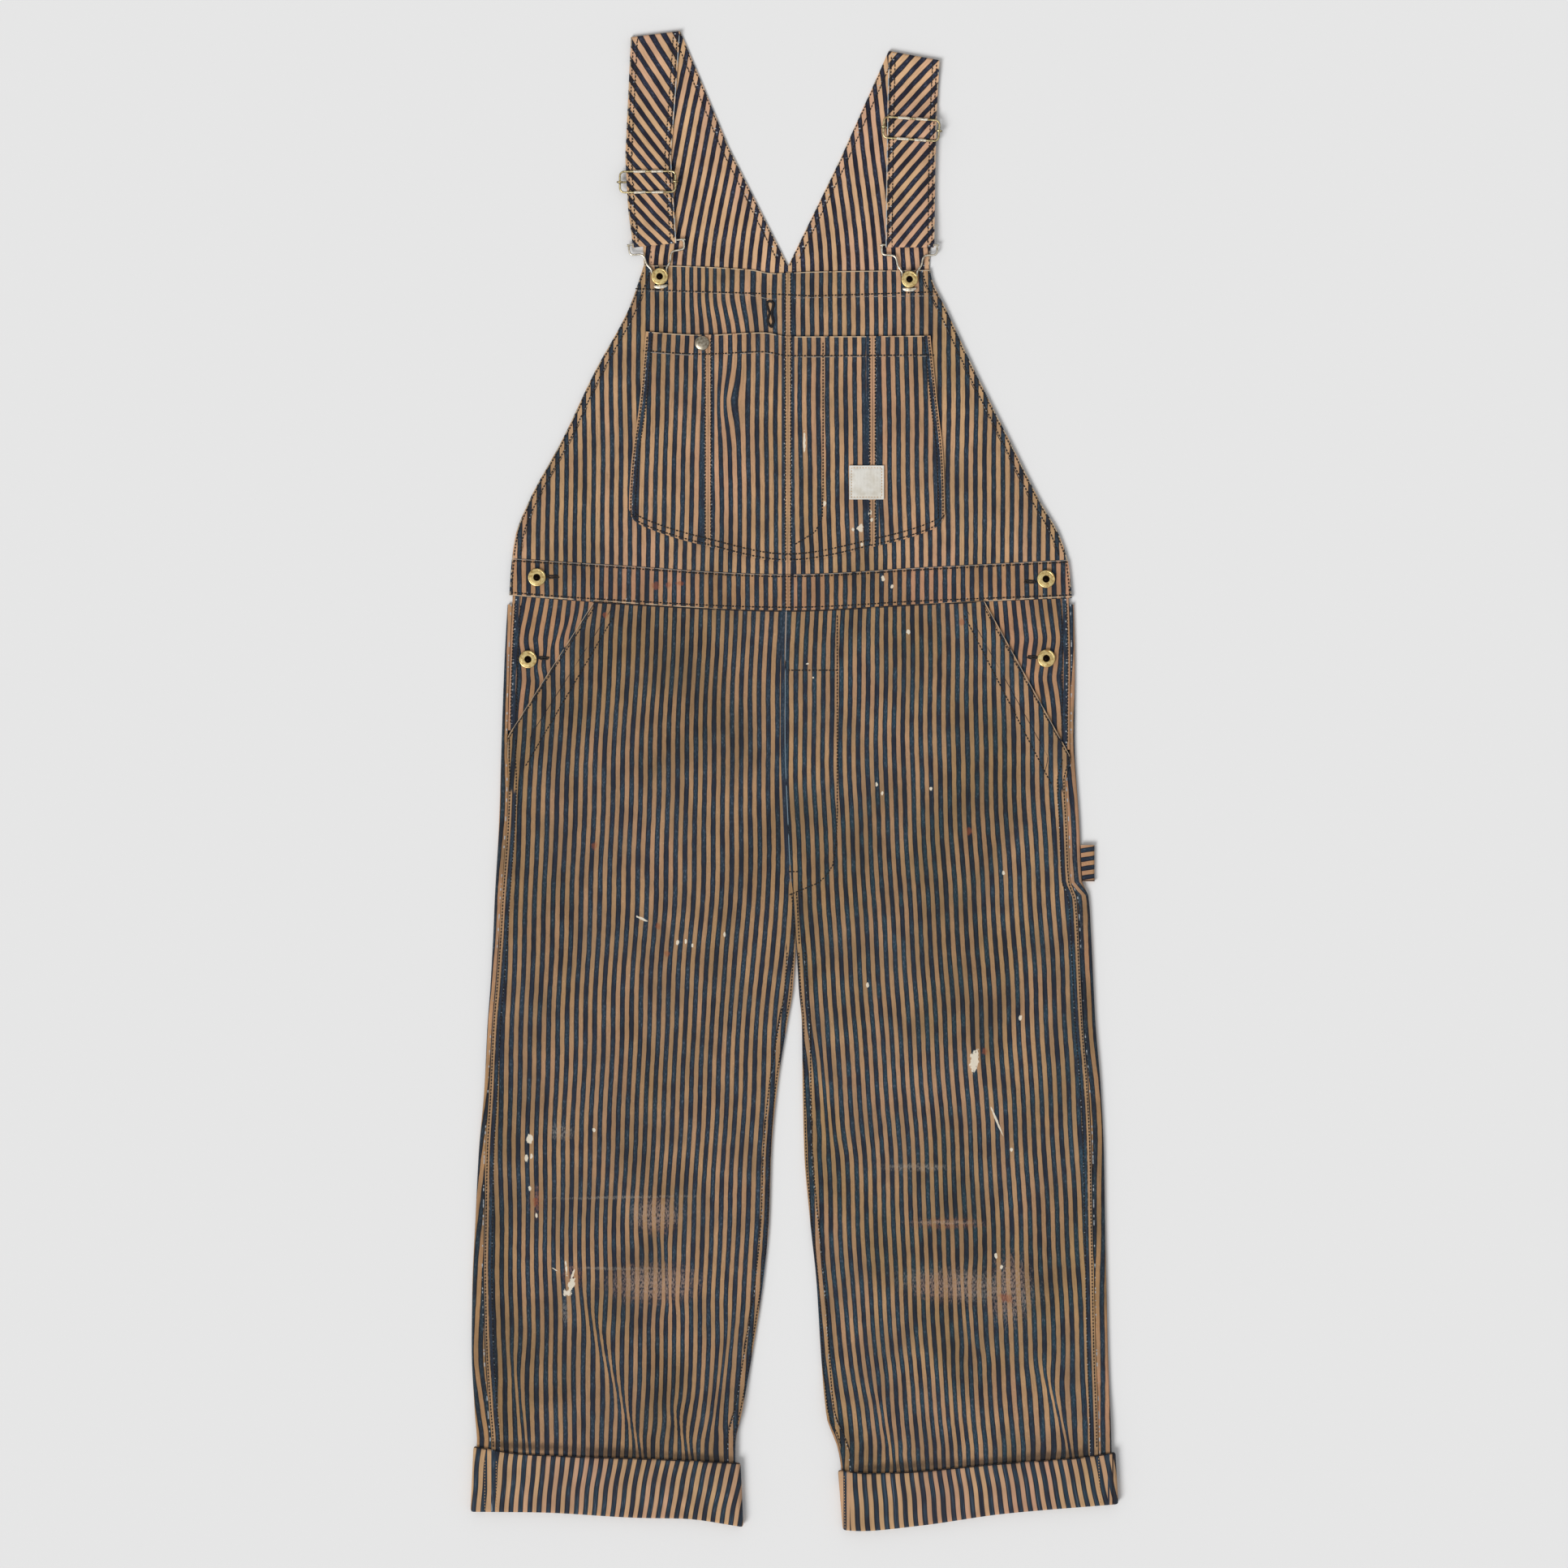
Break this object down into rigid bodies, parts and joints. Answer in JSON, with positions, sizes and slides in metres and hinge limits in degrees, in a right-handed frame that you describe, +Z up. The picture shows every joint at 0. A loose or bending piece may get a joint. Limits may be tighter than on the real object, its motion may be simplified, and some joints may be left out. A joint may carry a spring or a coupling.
{
  "type": "bib overall",
  "caption": "Hickory-striped denim bib overall laid flat, front up, with turned-up cuffs, wire hooks and sliders on the straps, brass ring buttons and a bib pocket.",
  "frame": {"origin": "centre of the laid-out garment's outline, on the surface that it lies on", "axes": "+Y from the hems to the shoulder folds, +Z up from the surface through the front, +X to the wearer's left"},
  "size_m": [0.5899, 1.3658, 0.0089],
  "materials": {
    "striped_denim": "worn tan and indigo striped cotton denim",
    "label_cotton": "plain woven off-white cotton",
    "plated_wire": "aged brass-plated steel wire",
    "bright_wire": "worn bright steel wire",
    "brass": "aged brass",
    "nickel": "worn nickel plate"
  },
  "bodies": {
    "root": {"front_leg_right": "striped_denim", "front_leg_left": "striped_denim", "back_leg_right": "striped_denim", "back_leg_left": "striped_denim", "hip_facing_right": "striped_denim", "hip_facing_left": "striped_denim", "waistband_right": "striped_denim", "waistband_left": "striped_denim", "bib_right": "striped_denim", "bib_left": "striped_denim", "bib_pocket_outer_right": "striped_denim", "bib_pocket_inner_right": "striped_denim", "bib_pocket_inner_left": "striped_denim", "bib_pocket_outer_left": "striped_denim", "back_strap_right": "striped_denim", "back_strap_left": "striped_denim", "cuff_right": "striped_denim", "cuff_left": "striped_denim", "hammer_loop": "striped_denim", "label": "label_cotton", "slider_frame_right": "plated_wire", "slider_frame_left": "plated_wire", "slider_bar_right": "plated_wire", "slider_bar_left": "plated_wire", "hook_right": "bright_wire", "hook_left": "bright_wire", "hook_clip_right": "bright_wire", "hook_clip_left": "bright_wire", "bib_button_right": "brass", "bib_button_left": "brass", "waist_button_upper_right": "brass", "waist_button_lower_right": "brass", "waist_button_upper_left": "brass", "waist_button_lower_left": "brass", "pocket_snap": "nickel"}
  },
  "joints": []
}
